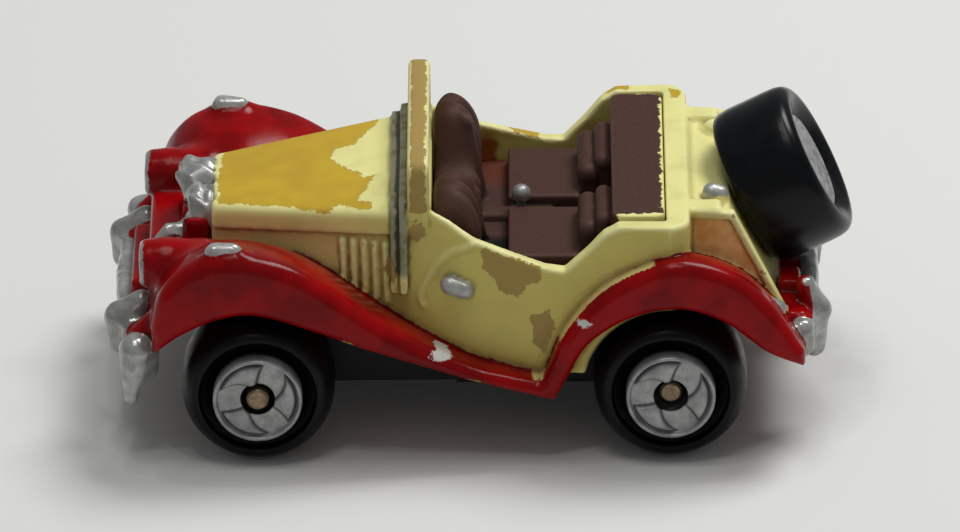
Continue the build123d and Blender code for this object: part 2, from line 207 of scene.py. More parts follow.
def surface(field, low, step):
    """Closed quad mesh of the field's zero level: one point per crossed cell."""
    inside = field < 0
    shape = tuple(n - 1 for n in field.shape)
    count = np.zeros(shape, np.int8)
    for i, j, k in CORNERS:
        count += inside[i:i + shape[0], j:j + shape[1], k:k + shape[2]]
    cells = np.argwhere((count > 0) & (count < 8))
    index = np.full(shape, -1, np.int32)
    index[tuple(cells.T)] = np.arange(len(cells))
    values = {c: field[tuple((cells + c).T)] for c in CORNERS}
    total = np.zeros((len(cells), 3))
    hits = np.zeros(len(cells))
    for start in CORNERS:
        for axis in range(3):
            if start[axis]:
                continue
            end = tuple(1 if a == axis else s for a, s in enumerate(start))
            a, b = values[start], values[end]
            crossed = (a < 0) != (b < 0)
            share = np.where(crossed, a / np.where(crossed, a - b, 1), 0)
            point = np.tile(np.array(start, float), (len(cells), 1))
            point[:, axis] += share
            total += point * crossed[:, None]
            hits += crossed
    points = low + (cells + total / hits[:, None]) * step
    faces = []
    for axis in range(3):
        u, v = (axis + 1) % 3, (axis + 2) % 3
        ahead = [slice(1, -1)] * 3
        here = [slice(1, -1)] * 3
        ahead[axis], here[axis] = slice(1, None), slice(0, -1)
        a, b = inside[tuple(here)], inside[tuple(ahead)]
        flips = np.argwhere(a != b)
        base = flips + 1
        base[:, axis] -= 1
        leaving = a[tuple(flips.T)]
        quad = []
        for du, dv in ((1, 1), (0, 1), (0, 0), (1, 0)):
            cell = base.copy()
            cell[:, u] -= du
            cell[:, v] -= dv
            quad.append(index[tuple(cell.T)])
        quad = np.stack(quad, 1)
        quad[~leaving] = quad[~leaving][:, ::-1]
        faces.append(quad)
    return points, np.vstack(faces)


def sample(field, g, points):
    """Field value at points, mirrored in y, by trilinear interpolation."""
    at = (points * (1, 0, 1) + np.abs(points) * (0, 1, 0) - g.low) / g.step
    cell = np.clip(np.floor(at).astype(int), 0, np.array(field.shape) - 2)
    part = at - cell
    total = np.zeros(len(points))
    for corner in CORNERS:
        weight = np.prod(np.where(corner, part, 1 - part), axis=1)
        total += weight * field[tuple((cell + corner).T)]
    return total


def clip_share(*parts):
    """Product of soft steps, each (value, where it is 0, where it is 1)."""
    total = 1.0
    for value, low, high in parts:
        total = total * np.clip((value - low) / (high - low), 0, 1)
    return total


def whole_grid(right, left):
    """Both halves of a car's field, each given for y from 0 outwards."""
    return np.concatenate([right[:, :0:-1], left], axis=1)


def face_edges(faces):
    return np.vstack([faces[:, pair] for pair in ([0, 1], [1, 2], [2, 3], [3, 0])])


def neighbour_mean(points, edges):
    """Mean of each point's neighbours along the edges."""
    degree = np.bincount(edges.ravel(), minlength=len(points))[:, None]
    total = np.zeros_like(points)
    for axis in range(3):
        total[:, axis] = (np.bincount(edges[:, 0], points[edges[:, 1], axis], len(points))
                          + np.bincount(edges[:, 1], points[edges[:, 0], axis], len(points)))
    return total / degree


def relax(points, faces, rounds):
    """Even out the points a little, keeping the volume (Taubin)."""
    edges = face_edges(faces)
    for share in (0.5, -0.52) * rounds:
        points = points + share * (neighbour_mean(points, edges) - points)
    return points


def mesh_object(name, points, faces, body, attributes=None):
    """Object from points in side-view millimetres."""
    placed = (np.asarray(points, float) + (SHIFT, 0, 0)) * MM
    mesh = bpy.data.meshes.new(name)
    mesh.from_pydata(placed.tolist(), [], np.asarray(faces).tolist())
    mesh.validate()
    mesh.polygons.foreach_set("use_smooth", np.ones(len(mesh.polygons), bool))
    for key, values in (attributes or {}).items():
        layer = mesh.attributes.new(key, "FLOAT", "POINT")
        layer.data.foreach_set("value", np.asarray(values, np.float32))
    thing = bpy.data.objects.new(name, mesh)
    bpy.context.scene.collection.objects.link(thing)
    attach(thing, body)
    return thing


# ------------------------ body moulding

CREST = [(-5.6, 6.0), (-2.9, 6.6), (-0.4, 7.3), (2.9, 9.0), (6.2, 11.1), (9.2, 13.3),
         (11.9, 14.8), (15.3, 15.5), (18.3, 14.8), (20.2, 12.8), (20.9, 10.2)]
HEM = [(20.7, 8.2), (18.8, 9.6), (16.4, 10.7), (13.8, 11.0), (9.5, 9.6), (6.7, 8.5),
       (1.7, 6.8), (-1.1, 5.9), (-5.6, 4.7)]
REAR_CREST = [(-4.9, 5.4), (-5.7, 7.2), (-6.8, 9.8), (-9.2, 12.7), (-12.2, 14.4), (-14.8, 14.9),
              (-18.2, 13.8), (-20.8, 11.3), (-22.8, 8.1)]
REAR_HEM = [(-22.8, 7.0), (-20.2, 8.1), (-17.4, 10.3), (-14.4, 11.3), (-11.2, 10.7),
            (-8.4, 8.8), (-6.9, 6.2), (-6.0, 4.6)]
SIDE_WIDTH = [(4.6, 8.4), (2.1, 9.3), (0, 10.0), (-5, 10.8), (-10, 11.3), (-13.8, 11.4),
              (-15.1, 11.0)]
SIDE_LEAN = [(4.6, 0.014), (-5, 0.013), (-9, 0.002), (-15, 0.0)]
SILL_LINE = [(5.5, 16.9), (2.0, 16.9), (0.9, 16.4), (-0.8, 15.3), (-3.1, 14.5), (-5.6, 13.7),
             (-6.8, 13.6), (-8.2, 15.0), (-9.4, 16.4), (-10.4, 17.0), (-16, 17.0)]
TANK_BLOCK = [(-14.6, 16.7), (-17.8, 16.1), (-21.5, 8.6), (-21.5, 7.8), (-18.0, 7.4), (-14.6, 6.4)]
TANK_PLATE = [(-14.6, 16.8), (-18.1, 16.5), (-21.7, 9.3), (-21.7, 7.9), (-14.6, 7.4)]
TANK_PANEL = [(-15.3, 16.2), (-17.8, 16.0), (-21.3, 9.0), (-20.5, 7.6), (-15.3, 7.6)]
PLATE_HALF = 0.45
FENDER_IN, FENDER_OUT = 5.2, 12.8
WELL_R = 5.6
LAMP_Y, LAMP_Z = 7.0, 12.6
GUARD_Y = 6.4


def shift_down(flat, drop, g):
    """Lower a side-view field by an amount that depends on y."""
    levels = np.arange(flat.shape[1])
    result = np.empty((flat.shape[0], len(drop), flat.shape[1]), np.float32)
    for row, amount in enumerate(drop / g.step):
        at = np.clip(levels + amount, 0, len(levels) - 1)
        low = np.minimum(at.astype(int), len(levels) - 2)
        part = (at - low).astype(np.float32)
        result[:, row] = flat[:, low] * (1 - part) + flat[:, low + 1] * part
    return result


def wing_field(g, crest, hem, inner, slope, radius):
    """Wing: its side outline drawn outwards from the body, falling away from the crest."""
    flat = side_outline(g, [*curve(crest), *curve(hem)])[:, 0]
    y = g.y[0, :, 0]
    drop = slope * np.maximum(12.2 - y, 0) ** 2
    half = (FENDER_OUT - inner) / 2
    across = np.abs(g.y - (FENDER_OUT + inner) / 2) - half
    return rounded([shift_down(flat, drop, g), across], radius)


def side_width(g):
    """Half width of the cabin's side at each point."""
    return lookup(g.x, SIDE_WIDTH) - lookup(g.x, SIDE_LEAN) * (g.z - 9) ** 2


def bonnet_section(x, y, rise=0.0):
    """The bonnet's half width and top, which both grow from the radiator to the scuttle."""
    share = np.clip((16.6 - x) / 12.3, -0.2, 1.1)
    width = 4.3 + 3.65 * share + rise
    return width, 15.45 + 1.15 * share + 0.3 * (1 - (y / width) ** 2) + rise


def bonnet_field(g):
    width, top = bonnet_section(g.x, g.y)
    ledge = top - 1.45
    below = np.clip((ledge - g.z) / 0.25, 0, 1)
    side = g.y - width - 0.12 * np.maximum(top - g.z, 0) + 0.4 * below
    length = np.maximum(g.x - 16.9, 3.6 - g.x)
    shape = smooth_max(side, g.z - top, 0.7)
    return smooth_max(smooth_max(shape, length, 0.4), 8.0 - g.z, 0.3)


def louvre_field(g):
    """Five raised louvres low on the bonnet's rear side."""
    ribs = []
    for number in range(5):
        x = 8.0 - 0.72 * number
        side = bonnet_section(x, 0)[0] - 0.1
        low = 11.2 - 0.25 * number
        ribs.append(rod_field(g, (x, side + 0.5, low), (x + 0.1, side + 0.02, 14.1), 0.2))
    return np.minimum.reduce(ribs)


def cabin_field(g):
    top = lookup(g.x, SILL_LINE)
    length = np.maximum(g.x - 4.6, -15.15 - g.x)
    shape = smooth_max(g.y - side_width(g), length, 1.4)
    shape = smooth_max(shape, g.z - top, 0.35)
    return smooth_max(shape, 6.0 - g.z, 0.4)


def cockpit_field(g):
    """Room for the cabin insert, open at the top and below."""
    width = lookup(g.x, SIDE_WIDTH) - 1.25
    length = np.maximum(g.x - 2.1, -13.55 - g.x)
    return smooth_max(g.y - width, length, 0.4)


def windscreen_field(g):
    upright = np.abs(g.x - 2.95) - 0.74
    outline = rounded([np.abs(g.y) - 8.7, np.abs(g.z - 17.7) - 2.8], 0.9)
    slab = rounded([upright, outline], 0.42)
    pane = rounded([np.abs(g.y) - 7.5, np.abs(g.z - 18.2) - 1.4], 0.6)
    front = np.maximum(pane, 3.45 - g.x)
    back = np.maximum(pane, g.x - 2.42)
    return smooth_max(smooth_max(slab, -front, 0.15), -back, 0.15)


def scuttle_field(g):
    """Two flat bands that step up from the bonnet to the screen."""
    bands = []
    for x, rise, half in ((4.55, 0.2, 0.3), (3.98, 0.5, 0.26)):
        width, top = bonnet_section(x, g.y, rise)
        band = smooth_max(g.y - width - 0.12 * np.maximum(top - g.z, 0), g.z - top, 0.6)
        band = smooth_max(band, np.abs(g.x - x) - half, 0.1)
        bands.append(np.maximum(band, 11.0 - g.z))
    return np.minimum.reduce(bands)


def door_field(g):
    """Raised line round the door's front edge."""
    seam = curve([(-0.6, 15.0), (0.9, 14.3), (2.0, 13.0), (2.9, 11.2), (2.7, 10.3)])
    flat = line_distance(g.x[:, :, 0], g.z[0, 0][None, :], seam)[:, None, :]
    off_side = np.abs(g.y - side_width(g) + 0.02)
    return np.sqrt(flat ** 2 + off_side ** 2) - 0.16


def tank_width(z):
    return 8.6 - 0.05 * (z - 8)


def tank_field(g):
    block = rounded([side_outline(g, TANK_BLOCK), g.y - tank_width(g.z)], 0.35)
    across = np.abs(g.y - tank_width(g.z) + PLATE_HALF) - PLATE_HALF
    return smooth_min(block, rounded([side_outline(g, TANK_PLATE), across], 0.2), 0.2)


def tank_panel_field(g):
    """Sunk field in the tank's side, which leaves a rim along its sloped edge."""
    return np.maximum(side_outline(g, TANK_PANEL), tank_width(g.z) - 0.3 - g.y)


def post_field(g):
    """Post that carries the spare wheel, leaning with it."""
    return rod_field(g, (-18.4, 0, 14.0), (-21.3, 0, 15.45), 1.0)


def lug_field(g):
    """A lug on top of the tank, and beside it the seat of the filler."""
    lug = box_field(g, (-16.2, 7.2, 16.3), (1.1, 0.8, 0.55), 0.35)
    return join(lug, (rod_field(g, (-16.9, 5.3, 15.4), (-17.0, 5.3, 16.2), 0.85), 0.3))


def nose_red_field(g):
    apron = box_field(g, (17.6, 0, 10.2), (3.3, 8.0, 1.4), 0.5)
    lip = box_field(g, (19.9, 0, 11.2), (1.3, 5.8, 0.9), 0.5)
    front = box_field(g, (18.0, 0, 12.2), (0.9, 3.7, 2.1), 0.6)
    pod = rod_field(g, (19.9, LAMP_Y, LAMP_Z), (14.5, 7.2, 12.2), 1.6, 1.3)
    barrel = np.hypot(g.y - LAMP_Y, g.z - LAMP_Z) - 1.62
    lamp = rounded([barrel, g.x - 21.5, 17.0 - g.x], 0.4)
    seat = rod_field(g, (16.5, 11.5, 14.9), (15.1, 11.5, 15.1), 0.68, 0.55)
    return join(apron, (lip, 0.5), (front, 0.6), (pod, 0.6), (lamp, 0.5), (seat, 0.3))


def nose_silver_field(g):
    cap = box_field(g, (17.7, 0, 14.9), (1.15, 3.3, 0.95), 0.7)
    neck = rod_field(g, (18.7, 0.9, 15.2), (18.4, 2.6, 14.9), 0.7)
    disc = np.hypot(g.y - LAMP_Y, g.z - LAMP_Z) - 1.5
    lamp_face = rounded([disc, np.abs(g.x - 21.3) - 0.36], 0.25)
    side_lamp = rod_field(g, (16.5, 11.5, 15.55), (15.2, 11.45, 15.6), 0.66, 0.5)
    bow = 22.55 - 0.0105 * g.y ** 2
    blade = rounded([np.abs(g.x - bow) - 0.95, np.abs(g.z - 7.7 + 0.006 * g.y ** 2) - 1.25,
                     g.y - 10.9], 0.6)
    tusk = rod_field(g, (21.9, 10.8, 7.9), (22.3, 11.2, 4.7), 1.2, 0.5)
    guard = join(rod_field(g, (23.05, GUARD_Y, 6.7), (23.1, GUARD_Y, 8.3), 0.95, 0.98),
                 (rod_field(g, (23.0, GUARD_Y, 8.4), (21.6, 6.5, 9.5), 1.0, 0.85), 0.5))
    return join(cap, (neck, 0.5), (lamp_face, 0.05), (side_lamp, 0.05),
                (blade, 0.1), (tusk, 0.9), (guard, 0.7))


def left_silver_field(g):
    """Strip down the radiator's left edge, and the filler cap."""
    strip = rod_field(g, (18.3, 2.2, 14.5), (20.5, 3.1, 12.1), 0.62, 0.5)
    filler = rod_field(g, (-16.7, 5.3, 16.7), (-17.2, 5.3, 16.6), 0.68, 0.6)
    return np.minimum(strip, filler)


def bracket_field(g):
    """Red iron between the bumper and the apron."""
    arm = rod_field(g, (22.0, 5.4, 8.2), (19.0, 5.2, 9.4), 1.1)
    tie = box_field(g, (20.9, 0, 9.2), (1.5, 4.6, 0.9), 0.5)
    side = rod_field(g, (21.5, 9.6, 8.4), (19.6, 9.6, 10.4), 0.95)
    return join(arm, (tie, 0.5), (side, 0.6))


def tail_red_field(g):
    valance = box_field(g, (-21.4, 0, 8.0), (1.7, 8.6, 1.25), 0.5)
    arm = rod_field(g, (-20.8, GUARD_Y, 8.6), (-23.0, GUARD_Y, 8.4), 1.1)
    plate = box_field(g, (-21.9, 4.9, 9.4), (0.75, 1.2, 1.1), 0.4)
    return join(valance, (arm, 0.5), (plate, 0.3))


def tail_silver_field(g):
    bow = -23.2 + 0.006 * g.y ** 2
    blade = rounded([np.abs(g.x - bow) - 0.75, np.abs(g.z - 8.1 + 0.006 * g.y ** 2) - 1.3,
                     g.y - 9.6], 0.7)
    guard = join(rod_field(g, (-23.5, 6.6, 5.9), (-23.75, 6.6, 8.6), 0.75, 0.85),
                 (rod_field(g, (-23.75, 6.6, 8.6), (-22.9, 6.6, 10.4), 0.85, 0.7), 0.4))
    lamp = rod_field(g, (-20.2, 10.3, 10.9), (-21.1, 10.3, 10.5), 0.55, 0.5)
    handle = rod_field(g, (0.85, 9.95, 12.2), (-0.1, 10.05, 11.9), 0.66, 0.6)
    return join(blade, (guard, 0.6), (lamp, 0.05), (handle, 0.02))


def hollow_field(g):
    """Everything that the base, the motor and the wheels need."""
    tunnel = np.maximum.reduce([g.y - 6.9 + 0 * g.x, np.abs(g.x) - 19.4 + 0 * g.y])
    tunnel = np.maximum(tunnel, g.z - 8.4)
    engine = box_field(g, (8.2, 0, 8), (6.6, 3.6, 6.0), 0.4)
    boot = box_field(g, (-16.2, 0, 6), (3.4, 6.9, 5.6), 0.4)
    total = np.minimum(np.minimum(tunnel, engine), boot)
    for x in (HALF_BASE, -HALF_BASE):
        round_well = np.hypot(g.x - x, g.z - AXLE_Z) - WELL_R
        total = np.minimum(total, np.maximum(round_well, 6.85 - g.y))
    cabin_room = smooth_max(cockpit_field(g), g.z - 17.6, 0.2)
    return np.minimum(total, cabin_room)


def body_fields(g):
    cream = join(cabin_field(g), (bonnet_field(g), 0.3), (louvre_field(g), 0.15),
                 (scuttle_field(g), 0.1), (windscreen_field(g), 0.2), (door_field(g), 0.25),
                 (tank_field(g), 0.4), (post_field(g), 0.5))
    cream = smooth_max(cream, -tank_panel_field(g), 0.15)
    cream = smooth_min(cream, lug_field(g), 0.3)
    red = join(wing_field(g, CREST, HEM, FENDER_IN, 0.045, 1.15),
               (wing_field(g, REAR_CREST, REAR_HEM, 6.9, 0.08, 1.0), 0.5),
               (nose_red_field(g), 0.9), (bracket_field(g), 0.3), (tail_red_field(g), 0.5))
    silver = join(nose_silver_field(g), (tail_silver_field(g), 0.1))
    return cream, red, silver


def body_moulding():
    g = Grid((-25.2, 0, 3.6), (24.9, 13.5, 21.0), STEP)
    cream, red, silver = body_fields(g)
    paint = smooth_min(cream, red, 0.35)
    silver_left = smooth_min(silver, left_silver_field(g), 0.2)
    hollow = hollow_field(g)
    right, left = [smooth_max(smooth_min(paint, metal, 0.18), -hollow, 0.25)
                   for metal in (silver, silver_left)]
    low = g.low * (1, 0, 1) - (0, (left.shape[1] - 1) * STEP, 0)
    points, faces = surface(whole_grid(right, left), low, STEP)
    points = relax(points, faces, 3)
    red_side = sample(cream - red, g, points) + 0.1
    left_side, right_side = [sample(np.minimum(cream, red) - metal, g, points)
                             for metal in (silver_left, silver)]
    silver_side = np.where(points[:, 1] > 0, left_side, right_side)
    return crumble(points, silver_side), faces, red_side, silver_side


# Bare patches where the paint has come off, as outlines in millimetres.
BONNET_CHIP = [(16.4, 3.9), (14.9, 4.3), (12.9, 4.9), (10.6, 5.8), (9.4, 6.6), (8.4, 6.0),
               (7.2, 6.5), (5.9, 7.2), (6.2, 6.2), (7.0, 5.6), (6.2, 3.2), (5.8, 2.2),
               (6.7, 2.4), (7.3, 1.4), (8.3, 0.2), (8.9, -1.0), (8.7, -2.4), (7.4, -3.0),
               (6.6, -4.8), (5.6, -7.3), (7.8, -6.7), (10.3, -6.0), (13.6, -4.9), (16.2, -4.2),
               (16.5, 0)]
DOOR_CHIP = [(-1.3, 14.9), (-5.2, 13.7), (-5.0, 12.7), (-4.2, 12.5), (-3.6, 11.6),
             (-2.6, 11.9), (-2.2, 12.8), (-1.2, 13.6)]
WORN_REAR_DOOR = [(-4.5, 10.2), (-5.6, 10.6), (-6.1, 9.4), (-5.4, 7.6), (-4.6, 8.2)]
FAR_WALL_CHIP = [(-2.9, -11), (-5.0, -11), (-5.3, -9.4), (-4.2, -9.5), (-3.0, -9.6)]
DECK_CHIPS = [[(-8.8, -11.6), (-11.4, -12), (-11.2, -10.3), (-9.9, -10.5)],
              [(-14.0, -10.4), (-14.8, -10.0), (-14.6, -8.9), (-14.1, -9.0)]]
SPOTS_ON_RED = [(7.9, 8.95, 0.55, 0.35), (-0.5, 6.2, 0.5, 0.28)]     # x, z, half sizes
WHITE_SPOTS_ON_RED = [(1.4, 8.1, 0.75, 0.32), (-8.0, 10.6, 0.4, 0.25)]
OVERSPRAY = [(-4.6, 6.0), (-5.6, 9.1), (-7.4, 11.7), (-9.6, 13.6), (-12.6, 14.6), (-13.2, 13.7),
             (-12.7, 13.1), (-12.3, 13.9), (-10.4, 13.1), (-8.2, 11.4), (-6.3, 8.8), (-5.2, 6.2)]


def inside_by(outline, u, v, where):
    """How far inside an outline each point is, in millimetres, negative outside."""
    return np.where(where, -polygon_distance(u, v, outline), -2.0)


def spots(u, v, places, where):
    total = np.full(len(u), -2.0)
    for cu, cv, ru, rv in places:
        away = np.sqrt(((u - cu) / ru) ** 2 + ((v - cv) / rv) ** 2)
        total = np.maximum(total, np.where(where, (1 - away) * min(ru, rv), -2.0))
    return total


def bare_patches(points, normals):
    """How far inside a bare patch of the cream paint each point is, negative outside."""
    x, y, z = points.T
    top, near = normals[:, 2] > 0.5, (normals[:, 1] > 0.3) & (y > 9.0)
    total = inside_by(BONNET_CHIP, x, y, (z > 15.0) & top & (x > 5))
    for outline in (DOOR_CHIP, WORN_REAR_DOOR):
        total = np.maximum(total, inside_by(outline, x, z, near))
    total = np.maximum(total, inside_by(FAR_WALL_CHIP, x, y, (z > 12.9) & (normals[:, 2] > 0.2)))
    for outline in DECK_CHIPS:
        total = np.maximum(total, inside_by(outline, x, y, top & (z > 14.5)))
    strip = 0.5 - np.abs(x - 2.98) + 0.08 * np.sin(2.1 * y + 0.9 * z)
    rim = (np.abs(normals[:, 1]) + normals[:, 2] > 0.75) & (z > 17.0) & (x < 3.9) & (x > 2.0)
    total = np.maximum(total, np.where(rim, strip, -2.0))
    low = spots(x, z, [(3.1, 15.6, 0.55, 0.7), (4.9, 12.6, 0.35, 0.9)], near | (y > 7.5))
    return np.maximum(total, low)


def paint_marks(points, normals):
    """Signed marks over the red: ochre chips, whitish chips and cream overspray."""
    x, y, z = points.T
    side = (y > 10.0) & (normals[:, 1] > -0.2)
    chips = spots(x, z, SPOTS_ON_RED, side)
    white = spots(x, z, WHITE_SPOTS_ON_RED, side)
    spray = inside_by(OVERSPRAY, x, z, (y > 10.4) & (y < 12.2))
    return chips, white, spray


def silver_wear(points):
    """How much further in the silver paint stops: red beside the tusks, bare at their tips."""
    x, y, z = np.abs(points.T)
    front = points[:, 0] > 18
    gap = 1.3 * np.exp(-((x - 22.0) / 0.75) ** 2 - ((y - 8.3) / 0.9) ** 2)
    gap *= clip_share((z, 10.4, 10.0))
    tusk = clip_share((y, 9.8, 10.1), (z, 7.6, 7.0))
    back = tusk * clip_share((x, 21.75, 21.45))
    tip = tusk * clip_share((z, 5.25, 4.95))
    rear_guard = clip_share((x, 23.4, 23.2), (y, 4.8, 5.0), (y, 8.6, 8.3), (x, 21.4, 21.7))
    return np.where(front, gap + back + 1.5 * tip, 1.2 * rear_guard), np.where(front, tip, 0.0)


def room_tones(points, normals):
    """Places inside the cockpit that get painted shade: a golden-brown stripe along the walls, and
    deep orange bare moulding in the far footwell.
    """
    x, y, z = points.T
    room = (np.abs(y) < lookup(x, SIDE_WIDTH) - 0.8) & (x < 2.0) & (x > -9.5)
    room &= np.abs(normals[:, 1]) > 0.4
    painted_shade_stripe = clip_share((np.abs(z - 14.3 - 0.1 * np.sin(2 * x)), 0.7, 0.0))
    blot = 0.25 * np.sin(3.1 * x) + 0.2 * np.sin(4.7 * z + 1.0)
    shaded_ochre = clip_share((x + blot, -2.7, -2.2), (z - blot, 14.6, 13.8))
    return np.where(room, painted_shade_stripe, 0.0), np.where(room & (y < -5), shaded_ochre, 0.0)


def crumble(points, silver_side):
    """Lumps and dents in the silver castings, and an uneven radiator cap."""
    x, y, z = points.T
    share = np.clip(silver_side / 0.25 + 0.6, 0, 1)[:, None]
    wave = (np.sin(2.1 * x + 1.3 * np.sin(1.7 * y)) * np.sin(1.9 * y + 1.1 * np.sin(2.2 * z))
            + 0.4 * np.sin(4.3 * y + 2.1 * x) * np.sin(3.7 * z + 1.7 * y))
    push = np.stack([0.03 * wave, 0.02 * np.sin(2.1 * z + 1.7 * x), 0.03 * wave], 1)
    cap = clip_share((x, 15.9, 16.5), (x, 20.0, 19.4), (z, 12.9, 13.5), (np.abs(y), 5.0, 4.4))
    lump = 0.2 * np.sin(3.2 * x + 1.5 * y) * np.sin(2.9 * y + 1.2) + 0.05 * np.sin(7.1 * y + 5.2 * x)
    groove = 0.8 * np.exp(-((y - 0.2) / 0.4) ** 2)
    near_half = np.clip(y / 0.8, 0, 1)
    push[:, 2] += cap * (lump - groove - 0.35 * near_half - 0.5 * np.clip(y - 2.0, 0, 2))
    push[:, 0] += cap * (0.25 * lump - 0.7 * near_half * np.clip((x - 16.8) / 1.5, 0, 1))
    return points + push * share


def shape_measures(points, faces):
    """Unit normals and how convex the surface is at each point."""
    across = np.cross(points[faces[:, 2]] - points[faces[:, 0]],
                      points[faces[:, 3]] - points[faces[:, 1]])
    normals = np.zeros_like(points)
    for corner in range(4):
        for axis in range(3):
            normals[:, axis] += np.bincount(faces[:, corner], across[:, axis], len(points))
    normals /= np.linalg.norm(normals, axis=1)[:, None] + TINY
    edges = face_edges(faces)
    smooth = points
    for _ in range(4):
        smooth = neighbour_mean(smooth, edges)
    return normals, ((points - smooth) * normals).sum(1)


# ------------------------ materials


class Nodes:
    """Small helper that writes a material's node tree."""

    def __init__(self, name):
        self.material = bpy.data.materials.new(name)
        self.material.use_nodes = True
        self.tree = self.material.node_tree
        self.shader = self.tree.nodes["Principled BSDF"]
        coords = self.tree.nodes.new("ShaderNodeTexCoord")
        scale = self.tree.nodes.new("ShaderNodeVectorMath")
        scale.operation = "SCALE"
        scale.inputs["Scale"].default_value = 1 / MM
        self.link(coords.outputs["Object"], scale.inputs[0])
        self.place = scale.outputs[0]

    def link(self, source, target):
        self.tree.links.new(source, target)

    def put(self, socket, value):
        """Link a socket or set a constant."""
        if isinstance(value, bpy.types.NodeSocket):
            self.link(value, socket)
        else:
            socket.default_value = value

    def set(self, name, value):
        self.put(self.shader.inputs[name], value)

    def noise(self, scale, detail, roughness=0.55):
        node = self.tree.nodes.new("ShaderNodeTexNoise")
        node.inputs["Scale"].default_value = scale
        node.inputs["Detail"].default_value = detail
        node.inputs["Roughness"].default_value = roughness
        self.link(self.place, node.inputs["Vector"])
        return node.outputs["Fac"]

    def attribute(self, name):
        node = self.tree.nodes.new("ShaderNodeAttribute")
        node.attribute_name = name
        return node.outputs["Fac"]

    def math(self, operation, a, b):
        node = self.tree.nodes.new("ShaderNodeMath")
        node.operation = operation
        for socket, value in zip(node.inputs, (a, b)):
            self.put(socket, value)
        return node.outputs[0]

    def ramp(self, value, low, high, to_low=0.0, to_high=1.0):
        node = self.tree.nodes.new("ShaderNodeMapRange")
        for key, number in zip(("Value", "From Min", "From Max", "To Min", "To Max"),
                               (value, low, high, to_low, to_high)):
            self.put(node.inputs[key], number)
        return node.outputs[0]

    def mix(self, share, a, b):
        node = self.tree.nodes.new("ShaderNodeMix")
        node.data_type = "RGBA"
        self.put(node.inputs["Factor"], share)
        for socket, value in ((node.inputs[6], a), (node.inputs[7], b)):
            self.put(socket, value if isinstance(value, bpy.types.NodeSocket) else (*value, 1))
        return node.outputs[2]

    def bump(self, height, distance, strength):
        node = self.tree.nodes.new("ShaderNodeBump")
        node.inputs["Strength"].default_value = strength
        node.inputs["Distance"].default_value = distance * MM
        self.put(node.inputs["Height"], height)
        self.link(node.outputs[0], self.shader.inputs["Normal"])


def linear(red, green, blue):
    """Scene colour from an 8-bit display colour."""
    return tuple(((c / 255 + 0.055) / 1.055) ** 2.4 for c in (red, green, blue))


CREAM = linear(232, 227, 152)
# Cream in painted shade, for surfaces that face sideways.
CREAM_SHADED_SIDE = linear(206, 192, 106)
RED = linear(150, 4, 9)
RED_DARK = linear(112, 2, 7)
OCHRE = linear(198, 166, 50)
SILVER = linear(184, 184, 180)
BROWN = linear(80, 54, 42)
CREASE_DIRT_AND_SHADE = linear(96, 60, 22)
RUST = linear(170, 92, 30)
COWL = linear(150, 150, 124)


